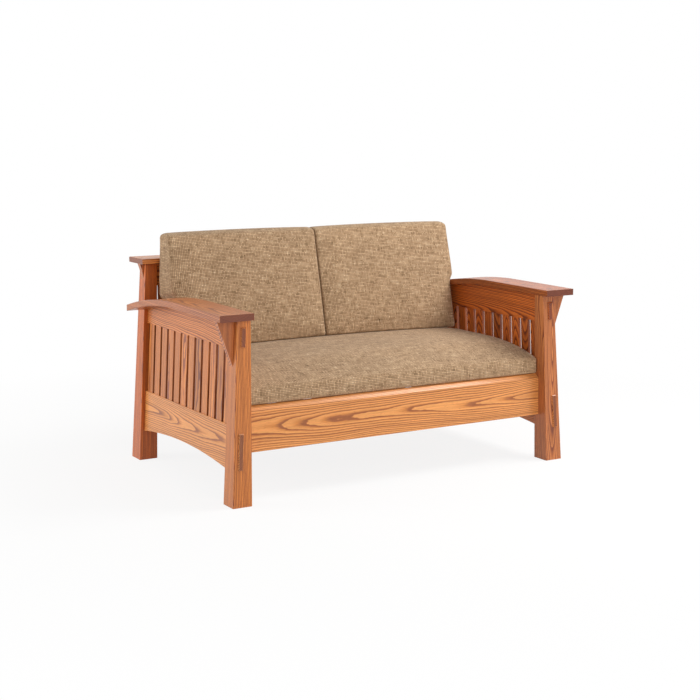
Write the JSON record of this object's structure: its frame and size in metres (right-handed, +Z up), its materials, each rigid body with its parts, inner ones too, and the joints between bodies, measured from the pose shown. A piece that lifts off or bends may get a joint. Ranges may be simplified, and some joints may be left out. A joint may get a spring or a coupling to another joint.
{
  "type": "slatted loveseat",
  "caption": "Slat-sided wooden loveseat with leaning tapered posts, bowed board arms, a flat cap board, a boxed seat cushion and loose back cushions.",
  "frame": {"origin": "on the floor, in the middle of the overall width and depth", "axes": "+X towards the right arm as seen from the front, +Y to the back, +Z up; the seat faces -Y"},
  "size_m": [1.584, 0.962, 0.938],
  "materials": {
    "stained_oak": "satin stained",
    "deck_wood": "plain sawn",
    "dowel_wood": "plain turned",
    "cushion_fabric": "matt woven",
    "screw_steel": "zinc plated"
  },
  "bodies": {
    "frame": {"arm_dowels": "dowel_wood", "arm_left": "stained_oak", "arm_right": "stained_oak", "back_slats_left": "stained_oak", "back_slats_middle": "stained_oak", "back_slats_right": "stained_oak", "cap_board": "stained_oak", "cap_corbel_left": "stained_oak", "cap_corbel_right": "stained_oak", "cap_dowels": "dowel_wood", "centre_stretcher": "deck_wood", "cleat_screws": "screw_steel", "deck_screws": "screw_steel", "deck_slats": "deck_wood", "front_cleat": "deck_wood", "front_corbel_left": "stained_oak", "front_corbel_right": "stained_oak", "front_post_left": "stained_oak", "front_post_right": "stained_oak", "front_rail": "stained_oak", "lower_side_rail_left": "stained_oak", "lower_side_rail_right": "stained_oak", "rear_cleat": "deck_wood", "rear_post_left": "stained_oak", "rear_post_right": "stained_oak", "rear_rail": "stained_oak", "side_slat_01_left": "stained_oak", "side_slat_01_right": "stained_oak", "side_slat_02_left": "stained_oak", "side_slat_02_right": "stained_oak", "side_slat_03_left": "stained_oak", "side_slat_03_right": "stained_oak", "side_slat_04_left": "stained_oak", "side_slat_04_right": "stained_oak", "side_slat_05_left": "stained_oak", "side_slat_05_right": "stained_oak", "side_slat_06_left": "stained_oak", "side_slat_06_right": "stained_oak", "side_slat_07_left": "stained_oak", "side_slat_07_right": "stained_oak", "side_slat_08_left": "stained_oak", "side_slat_08_right": "stained_oak", "side_slat_09_left": "stained_oak", "side_slat_09_right": "stained_oak", "side_slat_10_left": "stained_oak", "side_slat_10_right": "stained_oak", "side_slat_11_left": "stained_oak", "side_slat_11_right": "stained_oak", "side_slat_12_left": "stained_oak", "side_slat_12_right": "stained_oak", "upper_back_rail": "stained_oak", "upper_side_rail_left": "stained_oak", "upper_side_rail_right": "stained_oak"},
    "seat_cushion": {"seat_cushion": "cushion_fabric"},
    "back_cushion_left": {"back_cushion_left": "cushion_fabric"},
    "back_cushion_right": {"back_cushion_right": "cushion_fabric"}
  },
  "joints": [
    {"name": "seat_cushion_draw_out", "type": "slide", "parent": "frame", "child": "seat_cushion", "axis": [0, -1, 0], "range_m": [0, 0.9]},
    {"name": "back_cushion_left_lift", "type": "slide", "parent": "frame", "child": "back_cushion_left", "axis": [0, 0, 1], "range_m": [0, 0.5]},
    {"name": "back_cushion_right_lift", "type": "slide", "parent": "frame", "child": "back_cushion_right", "axis": [0, 0, 1], "range_m": [0, 0.5]}
  ]
}
